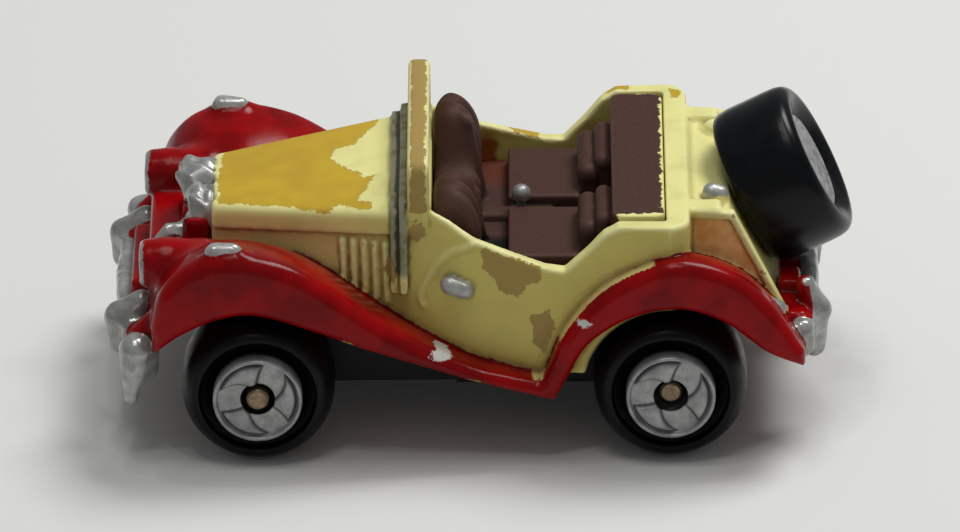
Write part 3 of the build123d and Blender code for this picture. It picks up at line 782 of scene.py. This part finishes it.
def body_paint():
    n = Nodes("worn_body_paint")
    coarse = n.noise(0.9, 4.0)
    fine = n.noise(4.0, 5.0, 0.6)
    cloud = n.noise(0.35, 2.0)
    ragged = n.math("ADD", n.ramp(coarse, 0.3, 0.7, -0.22, 0.22), n.ramp(fine, 0.3, 0.7, -0.16, 0.16))
    convex = n.attribute("convex")
    red_place = n.attribute("red_side")

    def share_of(name, wobble, sharp=0.04):
        edge = n.math("ADD", n.attribute(name), n.math("MULTIPLY", ragged, wobble))
        return n.ramp(edge, -sharp, sharp)

    def without(share, other):
        return n.math("MULTIPLY", share, n.math("SUBTRACT", 1.0, other))

    silver_share = share_of("silver_side", 0.3)
    spray = share_of("spray", 0.9, 0.06)
    red_share = without(share_of("red_side", 0.5), spray)
    worn = n.math("ADD", n.ramp(convex, 0.035, 0.09, -0.5, 0.5), n.math("MULTIPLY", ragged, 1.6))
    bare_share = n.math("MAXIMUM", share_of("bare", 0.8), n.ramp(worn, 0.3, 0.36))
    bare_share = without(bare_share, red_share)
    bare_share = n.math("MAXIMUM", bare_share, share_of("chips", 0.7))
    bare_share = without(bare_share, silver_share)

    upward = n.tree.nodes.new("ShaderNodeSeparateXYZ")
    shape = n.tree.nodes.new("ShaderNodeNewGeometry")
    n.link(shape.outputs["Normal"], upward.inputs[0])
    # Painted shade: the less a surface faces up, the more it takes a darker copy of the cream; on the
    # bonnet's sides ("pale") a lighter copy.
    side_shade = n.ramp(upward.outputs["Z"], 0.15, 0.75, 1.0, 0.0)
    cream = n.mix(side_shade, CREAM, n.mix(n.attribute("pale"), CREAM_SHADED_SIDE, linear(232, 212, 136)))
    cream = n.mix(n.ramp(cloud, 0.45, 0.7, 0.0, 0.3), cream, linear(176, 166, 92))
    cream = n.mix(n.ramp(red_place, -0.6, 0.05, 0.0, 0.35), cream, RUST)
    # Painted shade: golden-brown stripe along the cockpit's inner walls.
    cream = n.mix(n.attribute("painted_shade_stripe"), cream, linear(178, 140, 68))
    # Darker brown in creases and hollows: dirt and painted shade.
    cream = n.mix(n.ramp(convex, -0.07, -0.008, 0.85, 0.0), cream, CREASE_DIRT_AND_SHADE)
    # Painted highlight: cream lighter along convex edges.
    cream = n.mix(n.ramp(convex, 0.015, 0.05, 0.0, 0.45), cream, linear(246, 242, 190))
    cowl = n.mix(n.ramp(coarse, 0.45, 0.6), COWL, linear(124, 120, 88))
    # Painted shade: darker in the cowl's grooves.
    cowl = n.mix(n.ramp(convex, -0.03, 0.01, 0.9, 0.0), cowl, linear(52, 48, 30))
    cream = n.mix(n.attribute("cowl"), cream, cowl)
    tank = n.mix(n.ramp(coarse, 0.35, 0.65), linear(240, 206, 138), linear(226, 172, 98))
    cream = n.mix(n.attribute("tank"), cream, tank)
    # Painted shade: bare ochre moulding in the far footwell, deep orange as in shadow.
    cream = n.mix(n.attribute("shaded_ochre"), cream, linear(140, 52, 6))
    red = n.mix(n.ramp(cloud, 0.42, 0.62, 0.0, 0.8), RED, RED_DARK)
    # Painted shade: red darker in creases.
    red = n.mix(n.ramp(convex, -0.05, 0.0, 0.7, 0.0), red, linear(58, 2, 6))
    silver = n.mix(n.ramp(coarse, 0.4, 0.62), SILVER, linear(150, 150, 147))
    # Painted shade: silver darker in dents and creases.
    silver = n.mix(n.ramp(convex, -0.08, -0.02, 0.6, 0.0), silver, linear(74, 66, 60))
    paint = n.mix(red_share, cream, red)
    paint = n.mix(silver_share, paint, silver)
    paint = n.mix(share_of("white", 0.6), paint, linear(206, 204, 196))
    ochre = n.mix(n.ramp(cloud, 0.35, 0.65), OCHRE, linear(188, 154, 48))
    # Painted shade: bare ochre darker where it faces sideways, and on the windscreen's top strip.
    ochre = n.mix(n.math("MAXIMUM", side_shade, n.attribute("screen")), ochre, linear(166, 140, 80))
    paint = n.mix(bare_share, paint, ochre)
    # Painted shade: near black inside the wheel wells and the tunnel.
    n.set("Base Color", n.mix(n.attribute("well_shade"), paint, linear(26, 18, 10)))
    n.set("Specular IOR Level", 0.14)
    rough = n.ramp(red_share, 0, 1, 0.3, 0.12)
    rough = n.math("ADD", rough, n.math("MULTIPLY", bare_share, 0.12))
    n.set("Roughness", n.math("ADD", rough, n.ramp(fine, 0.3, 0.7, 0.0, 0.08)))
    n.set("Metallic", n.math("MULTIPLY", silver_share, 0.4))
    height = n.math("ADD", n.math("MULTIPLY", n.math("SUBTRACT", 1.0, bare_share), 0.8),
                    n.math("MULTIPLY", fine, 0.2))
    height = n.math("ADD", height, n.math("MULTIPLY", spray, 0.6))
    n.bump(height, 0.06, 0.9)
    return n.material


def plain(name, colour, other, roughness, metallic=0.0, scale=3.0, bump=0.03, specular=0.3):
    """Moulded or metal surface with slight mottling and a fine bump."""
    n = Nodes(name)
    fine = n.noise(scale, 5.0, 0.6)
    n.set("Base Color", n.mix(n.ramp(fine, 0.3, 0.7), colour, other))
    n.set("Roughness", n.ramp(fine, 0.3, 0.7, roughness - 0.06, roughness + 0.08))
    n.set("Metallic", metallic)
    n.set("Specular IOR Level", specular)
    n.bump(fine, bump, 0.7)
    return n.material


# ------------------------ body, made and painted


def well_shade_share(points):
    """Painted shade: 1 on the inside of the wheel wells and tunnel, fading out at their edges."""
    x, y, z = points.T
    total = clip_share((z, 8.3, 8.0), (np.abs(y), 7.2, 7.0), (np.abs(x), 19.5, 19.2))
    for axle in (HALF_BASE, -HALF_BASE):
        away = np.hypot(x - axle, z - AXLE_Z) - WELL_R
        inside = clip_share((away, 0.35, 0.15), (np.abs(y), 12.55, 12.35))
        total = np.maximum(total, inside * (np.abs(y) > 6.0))
    return total


points, faces, red_side, silver_side = body_moulding()
normals, convex = shape_measures(points, faces)
px, py, pz = points.T
chips, white, spray = paint_marks(points, normals)
wear, tips = silver_wear(points)
silver_side = silver_side - wear
chips = np.maximum(chips, 2.4 * tips - 1.6)
painted_shade_stripe, shaded_ochre = room_tones(points, normals)
cowl = clip_share((px, 3.66, 3.74), (px, 4.95, 4.85), (pz, 12.2, 12.6))
sunk = tank_width(pz) - np.abs(py)
panel = -polygon_distance(px, pz, TANK_PANEL)
tank_tone = clip_share((panel, 0.0, 0.25), (sunk, 0.1, 0.24), (sunk, 0.7, 0.5), (pz, 7.8, 8.4))
body = mesh_object("body", points, faces, "car", {
    "red_side": red_side, "silver_side": silver_side, "convex": convex,
    "bare": bare_patches(points, normals), "chips": chips, "white": white, "spray": spray,
    "pale": clip_share((px, 4.4, 8.5), (pz, 11.0, 12.5)),
    "screen": clip_share((px, 2.0, 2.1), (px, 3.9, 3.8), (pz, 17.5, 18.0)),
    "painted_shade_stripe": painted_shade_stripe * 0.8, "shaded_ochre": shaded_ochre * 0.9, "cowl": cowl, "tank": tank_tone,
    "well_shade": well_shade_share(points)})
body.data.materials.append(body_paint())
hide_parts("body_shell")


def tub_fields(g):
    width = lookup(g.x, SIDE_WIDTH) - 1.3
    floor = rounded([np.maximum(g.x - 2.0, -13.5 - g.x) + 0 * g.z, g.y - width,
                     np.abs(g.z - 11.8) - 0.6 + 0 * g.x], 0.1)
    lobe = 15.1 + 2.7 * np.exp(-((g.y - 5.2) / 2.9) ** 4)
    over = np.clip(1 - ((g.x - 0.7) / 1.95) ** 2, 0, 1)
    top = 14.0 + (lobe - 14.0) * np.sqrt(over)
    dash = rounded([g.x - 2.0 + 0 * g.y, -1.15 - g.x, g.y - 7.9, 11.3 - g.z], 0.45)
    dash = smooth_max(dash, (g.z - top) * 0.7, 0.4)
    flute = rod_field(g, (-0.2, 3.6, 17.0), (-1.1, 3.4, 12.5), 0.5)
    cushion = box_field(g, (-5.45, 4.62, 12.5), (2.45, 3.85, 1.15), 0.28)
    back = join(rod_field(g, (-8.4, 2.3, 14.6), (-8.4, 6.9, 14.8), 0.72),
                (box_field(g, (-8.4, 4.6, 13.2), (0.62, 2.9, 1.5), 0.3), 0.2),
                (rod_field(g, (-9.45, 2.5, 15.3), (-9.45, 7.0, 15.5), 0.62), 0.12),
                (box_field(g, (-9.45, 4.75, 13.6), (0.5, 2.8, 1.9), 0.3), 0.12))
    outline = rounded([np.abs(g.x + 11.72) - 1.76, g.y - 9.62], 0.75)
    pad = smooth_max(smooth_max(outline, g.z - 17.08, 0.16), 11.3 - g.z, 0.1)
    tunnel = box_field(g, (-3.2, 0, 12.2), (3.0, 0.8, 0.8), 0.4)
    return join(floor, (dash, 0.3), (flute, 0.5), (cushion, 0.2), (back, 0.25),
                (pad, 0.15), (tunnel, 0.3))


def interior():
    g = Grid((-14.0, 0, 10.8), (2.8, 10.4, 18.9), FINE_STEP)
    limit = lookup(g.x, SIDE_WIDTH) - 1.27 - g.y + 0 * g.z
    field = smooth_max(tub_fields(g), -limit, 0.1)
    low = g.low - (0, (field.shape[1] - 1) * FINE_STEP, 0)
    points, faces = surface(whole_grid(field, field), low, FINE_STEP)
    points = relax(points, faces, 3)
    x, y, z = points.T
    dash = clip_share((x, -1.35, -1.05), (z, 13.4, 14.2))
    lift = 0.32 * dash * np.maximum(z - 14.6, 0) * clip_share((y, 0.0, -2.0))
    points[:, 0] += 0.13 * dash * np.sin(4.4 * y + 0.3 * z) * clip_share((x, 1.6, 0.8))
    points[:, 2] += lift
    return points, faces


def brown_moulding():
    """Matt brown, with cream paint over the rear pad's edge and painted shade in the footwell."""
    n = Nodes("brown_moulding")
    coarse = n.noise(1.3, 4.0)
    fine = n.noise(5.0, 5.0, 0.6)
    brown = n.mix(n.ramp(fine, 0.3, 0.7), BROWN, linear(66, 42, 40))
    # Painted shade in creases and painted highlight along convex edges.
    brown = n.mix(n.ramp(n.attribute("convex"), -0.06, 0.0, 0.85, 0.0), brown, linear(20, 12, 12))
    brown = n.mix(n.ramp(n.attribute("convex"), 0.01, 0.06, 0.0, 0.3), brown, linear(122, 92, 88))
    # Painted shade: near black in the footwell.
    brown = n.mix(n.attribute("well_shade"), brown, linear(6, 4, 4))
    # Painted shade: deep orange in the far footwell, like bare ochre in shadow.
    brown = n.mix(n.attribute("shaded_ochre"), brown, linear(112, 44, 8))
    wobble = n.math("ADD", n.ramp(coarse, 0.3, 0.7, -0.2, 0.2), n.ramp(fine, 0.3, 0.7, -0.05, 0.05))
    over = n.ramp(n.math("ADD", n.attribute("overlap"), wobble), -0.03, 0.03)
    n.set("Base Color", n.mix(over, brown, CREAM))
    n.set("Roughness", n.ramp(fine, 0.3, 0.7, 0.5, 0.62))
    n.set("Specular IOR Level", 0.14)
    n.bump(n.math("ADD", n.math("MULTIPLY", over, 1.5), n.math("MULTIPLY", fine, 0.6)), 0.03, 0.8)
    return n.material


points, faces = interior()
normals, convex = shape_measures(points, faces)
px, py, pz = points.T
pad_edge = np.maximum(py - 9.25 - 0.12 * (px + 11.7), -py - 9.55)
pad_edge = np.maximum(pad_edge, -13.3 - px)
overlap = np.where((pz > 16.0) & (px < -9.9), pad_edge, -2.0)
# Painted shade in the footwell.
well_shade = clip_share((px, -3.4, -2.9), (px, -0.7, -1.2), (pz, 13.6, 12.7), (py, 2.6, 3.6))
# Painted shade: the deep orange patch in the far footwell.
shaded_ochre_patch = clip_share((px, -3.1, -2.7), (px, -0.7, -1.4), (-py, 4.0, 6.5), (pz, 15.2, 14.2))
tub = mesh_object("cabin_insert", points, faces, "car", {
    "convex": convex, "overlap": overlap, "well_shade": well_shade, "shaded_ochre": shaded_ochre_patch * 0.4})
tub.data.materials.append(brown_moulding())
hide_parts("interior_tub")

# ------------------------ wheels


def turned(turns, profile):
    """(radius, y) points turned about the Y axis to each angle."""
    r, y = np.array(profile, float).T
    x, z = np.cos(turns)[:, None] * r, np.sin(turns)[:, None] * r
    return np.stack([x, np.broadcast_to(y, x.shape), z], 2)


def ring_faces(segments, count):
    """Quads over a grid of points that closes both ways."""
    i, j = np.arange(segments)[:, None], np.arange(count)[None, :]
    near, far = i * count, (i + 1) % segments * count
    ahead = (j + 1) % count
    return np.stack([near + j, far + j, far + ahead, near + ahead], 2).reshape(-1, 4)


def lathe(profile, segments=112):
    """Closed ring turned about the Y axis from (radius, y) points."""
    turns = np.arange(segments) * 2 * math.pi / segments
    return turned(turns, profile).reshape(-1, 3), ring_faces(segments, len(profile))


TYRE_OUT = FRONT_HUB[1] + reach("front_left_hub")[1] - 0.7
TYRE_IN = FRONT_HUB[1] - reach("front_left_hub")[1]
CAP_FACE = FRONT_HUB[1] + reach("front_left_hub")[1]
CAP_R = reach("front_left_hub")[0]
AXLE_R = reach("front_axle")[0]
BARREL_R = 2.4           # the hub's barrel, which the tyre sits on
LIP_R = 3.9              # inner edge of the tyre's rounded lip


def tyre_profile():
    """Smooth tyre: recessed middle, rounded lip, bulging wall, slightly crowned tread."""
    wall = curve([(LIP_R + 0.14, TYRE_OUT), (LIP_R + 0.5, TYRE_OUT - 0.12),
                  (4.78, TYRE_OUT - 0.6), (5.03, TYRE_OUT - 1.2), (5.11, TYRE_OUT - 1.7)], 5)
    tread = [(TYRE_R, TYRE_OUT - 2.3), (TYRE_R, TYRE_IN + 1.1)]
    inner = curve([(5.1, TYRE_IN + 0.6), (4.9, TYRE_IN + 0.2), (4.5, TYRE_IN)], 4)
    middle_part = [(BARREL_R, TYRE_IN), (BARREL_R, TYRE_OUT - 0.65), (LIP_R - 0.1, TYRE_OUT - 0.65),
                   (LIP_R - 0.02, TYRE_OUT - 0.55), (LIP_R, TYRE_OUT - 0.16),
                   (LIP_R + 0.05, TYRE_OUT - 0.04)]
    return [*wall, *tread, *inner, *middle_part]


def soft_step(value, width):
    t = np.clip(value / width + 0.5, 0, 1)
    return t * t * (3 - 2 * t)


def cap_mesh():
    """Hub with its cap: a rim and three raised petals between three flat vanes."""
    segments, rings = 240, 34
    hole, petal_out = 1.14, 2.56
    turns = np.arange(segments) * 2 * math.pi / segments
    radii = np.linspace(hole + 0.05, CAP_R - 0.12, rings)
    turn, radius = np.meshgrid(turns, radii, indexing="ij")
    inward = 1 - np.clip((radius - hole) / (petal_out - hole), 0, 1)
    third = 2 * math.pi / 3
    start = math.radians(22) + math.radians(43) * inward
    end = math.radians(104) - math.radians(11) * inward
    local = turn % third
    local = np.where(local < math.radians(10), local + third, local)
    edge = np.minimum(np.minimum(local - start, end - local) * radius, petal_out - radius)
    petal = soft_step(edge - 0.05, 0.2)
    crown = 1 - 0.45 * np.clip(1 - edge / 0.8, 0, 1) ** 2
    rim = soft_step(radius - 2.72, 0.14)
    depth = 0.4 * (1 - petal * crown) * (1 - rim) + 0.02
    # Painted shade: dark lines along the petals' edges.
    crease_shade = np.exp(-((edge + 0.02) / 0.085) ** 2) * (1 - rim)
    face = np.stack([radius * np.cos(turn), CAP_FACE - depth, radius * np.sin(turn)], 2)
    back = [(CAP_R - 0.02, CAP_FACE - 0.1), (CAP_R, CAP_FACE - 0.3), (CAP_R, TYRE_OUT - 0.66),
            (BARREL_R - 0.02, TYRE_OUT - 0.66), (BARREL_R - 0.02, TYRE_IN), (AXLE_R, TYRE_IN),
            (AXLE_R, CAP_FACE - 1.2), (hole - 0.02, CAP_FACE - 1.2), (hole, CAP_FACE - 0.45)]
    bore = np.zeros((segments, len(back)))
    bore[:, -3:] = 1.0
    points = np.concatenate([face, turned(turns, back)], 1)
    crease_shade_and_bore = np.concatenate([0.9 * crease_shade, bore], 1)
    return points.reshape(-1, 3), ring_faces(segments, points.shape[1]), crease_shade_and_bore.ravel()


def wheel_piece(name, points, faces, hub, side, node, body, material, turn=0.0, marks=None):
    """Put a piece made about the Y axis on an axle; side -1 mirrors it to the right."""
    c, s = math.cos(turn), math.sin(turn)
    x, y, z = points.T
    placed = np.stack([c * x + s * z + hub[0] - SHIFT, side * y, c * z - s * x + hub[2]], 1)
    piece = mesh_object(name, placed, faces[:, ::side], body, marks)
    piece.data.materials.append(material)
    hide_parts(node)


def cap_silver():
    """Dull silver with painted shade in the creases and a black bore."""
    n = Nodes("cap_silver")
    coarse = n.noise(1.1, 4.0)
    fine = n.noise(4.5, 4.0)
    silver = n.mix(n.ramp(coarse, 0.35, 0.65), linear(172, 174, 172), linear(140, 141, 141))
    silver = n.mix(n.ramp(fine, 0.6, 0.72, 0.0, 0.5), silver, linear(92, 92, 92))
    n.set("Base Color", n.mix(n.attribute("crease_shade_and_bore"), silver, linear(8, 8, 9)))
    n.set("Roughness", n.ramp(fine, 0.3, 0.7, 0.34, 0.48))
    n.set("Metallic", n.math("MULTIPLY", n.math("SUBTRACT", 1.0, n.attribute("crease_shade_and_bore")), 0.45))
    n.bump(fine, 0.025, 0.6)
    return n.material


TYRE_LOOK = plain("tyre_rubber", linear(6, 6, 7), linear(10, 11, 12), 0.34, 0.0, 1.2, 0.008, 0.16)
SPARE_LOOK = plain("spare_rubber", linear(4, 6, 9), linear(9, 11, 14), 0.24, 0.0, 0.8, 0.008, 0.2)
SILVER_LOOK = plain("silver_paint", linear(184, 186, 184), linear(112, 112, 110), 0.34, 0.45, 1.6)
CAP_LOOK = cap_silver()

tyre_points, tyre_faces = lathe(tyre_profile())
cap_points, cap_faces, cap_crease_shade_and_bore = cap_mesh()
for end, hub in (("front", FRONT_HUB), ("rear", REAR_HUB)):
    for side_name, side in (("left", 1), ("right", -1)):
        start = f"{end}_{side_name}"
        turn = {"front": 0.1, "rear": 0.0}[end] * side
        wheel_piece(f"{start}_tyre_shape", tyre_points, tyre_faces, hub, side, f"{start}_tyre",
                    f"{end}_wheels", TYRE_LOOK)
        wheel_piece(f"{start}_cap", cap_points, cap_faces, hub, side, f"{start}_hub",
                    f"{end}_wheels", CAP_LOOK, turn, {"crease_shade_and_bore": cap_crease_shade_and_bore})

SPARE_AT = (-21.56, 15.57)
SPARE_LEAN = math.radians(27.0)
SPARE_R = reach("spare_tyre")[1]
DISC_R = 3.4


def on_spare(name, points, faces, node, material):
    """Turn a wheel piece from the Y axis onto the leaning spare post, outer face rearwards."""
    x, y, z = np.asarray(points).T
    c, s = math.cos(SPARE_LEAN), math.sin(SPARE_LEAN)
    placed = np.stack([SPARE_AT[0] - c * y + s * z, x, SPARE_AT[1] + s * y + c * z], 1)
    piece = mesh_object(name, placed, faces, "car")
    piece.data.materials.append(material)
    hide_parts(node)


face_y = 2.8     # half the spare's width
wall = curve([(DISC_R + 0.04, face_y - 0.66), (3.75, face_y - 0.4), (4.25, face_y - 0.1),
              (4.65, face_y), (5.05, face_y - 0.16), (5.34, face_y - 0.5), (5.47, face_y - 1.0)], 4)
back_edge = curve([(5.44, 0.55 - face_y), (5.25, 0.18 - face_y), (4.9, -face_y)], 4)
spare_profile = [*wall, (SPARE_R, face_y - 1.7), (SPARE_R, 1.2 - face_y), *back_edge,
                 (BARREL_R, -face_y), (BARREL_R, face_y - 0.9), (DISC_R, face_y - 0.9)]
spare_points, spare_faces = lathe(spare_profile, 160)
on_spare("spare_tyre_shape", spare_points, spare_faces, "spare_tyre", SPARE_LOOK)
disc = [(1.0, 0.2 - face_y), (BARREL_R - 0.02, 0.2 - face_y), (BARREL_R - 0.02, face_y - 0.88),
        (DISC_R, face_y - 0.88), (DISC_R, face_y - 0.66), (3.2, face_y - 0.54),
        (2.9, face_y - 0.66), (2.2, face_y - 0.8), (1.2, face_y - 0.7), (0.02, face_y - 0.64),
        (0.02, face_y - 0.9), (1.0, face_y - 0.9)]
disc_points, disc_faces = lathe(disc)
on_spare("spare_disc", disc_points, disc_faces[:, ::-1], "spare_hub", SILVER_LOOK)

# ------------------------ carried-over CAD parts

LOOKS = {
    "black_plastic": plain("black_moulding", linear(10, 11, 12), linear(17, 17, 18), 0.55),
    "motor_plastic": plain("motor_moulding", linear(16, 16, 18), linear(24, 24, 27), 0.5),
    "gear_plastic": plain("nylon", linear(214, 208, 190), linear(196, 188, 166), 0.5),
    "steel": plain("wire", linear(158, 138, 112), linear(118, 100, 80), 0.42, 0.7),
    "spring_steel": plain("spring_strip", linear(70, 76, 92), linear(48, 50, 58), 0.35, 0.9),
    "silver": SILVER_LOOK,
}
SLOT_OF = {part["node"]: part["material_slot"] for part in frame["record"]["subparts"]}
for node in frame["nodes"]:
    if SLOT_OF[node] in LOOKS:
        thing = bpy.data.objects[node]
        thing.data.materials.clear()
        thing.data.materials.append(LOOKS[SLOT_OF[node]])

# ------------------------ floor and light


LIGHT_TARGET = (0, 0, 5)


def stage():
    mesh = bpy.data.meshes.new("floor")
    size = 3.0
    mesh.from_pydata([(-size, -size, 0), (size, -size, 0), (size, size, 0), (-size, size, 0)],
                     [], [(0, 1, 2, 3)])
    floor = bpy.data.objects.new("floor", mesh)
    bpy.context.scene.collection.objects.link(floor)
    n = Nodes("pale_floor")
    n.set("Base Color", n.mix(n.noise(0.01, 1.0), linear(226, 226, 222), linear(222, 222, 219)))
    n.set("Roughness", 0.9)
    mesh.materials.append(n.material)


def soft_light(name, place, size, power):
    data = bpy.data.lights.new(name, "AREA")
    data.shape = "RECTANGLE"
    data.size, data.size_y = size[0] * MM, size[1] * MM
    data.energy = power
    lamp = bpy.data.objects.new(name, data)
    aim = Vector(LIGHT_TARGET) - Vector(place)
    lamp.matrix_world = (Matrix.Translation(Vector(place) * MM)
                         @ aim.to_track_quat("-Z", "Y").to_matrix().to_4x4())
    bpy.context.scene.collection.objects.link(lamp)


stage()
soft_light("key", (-150, -120, 380), (170, 170), 1.1)
soft_light("ceiling", (40, 40, 420), (150, 110), 0.24)
for number, (x, y) in enumerate(((60, 150), (-20, 130), (30, -60))):
    soft_light(f"spot_{number}", (x, y, 420), (18, 11), 0.06)
world = bpy.data.worlds.new("room")
world.use_nodes = True
world.node_tree.nodes["Background"].inputs[0].default_value = (0.92, 0.94, 0.96, 1)
world.node_tree.nodes["Background"].inputs[1].default_value = 0.24
bpy.context.scene.world = world
bpy.context.scene.view_settings.view_transform = "Standard"
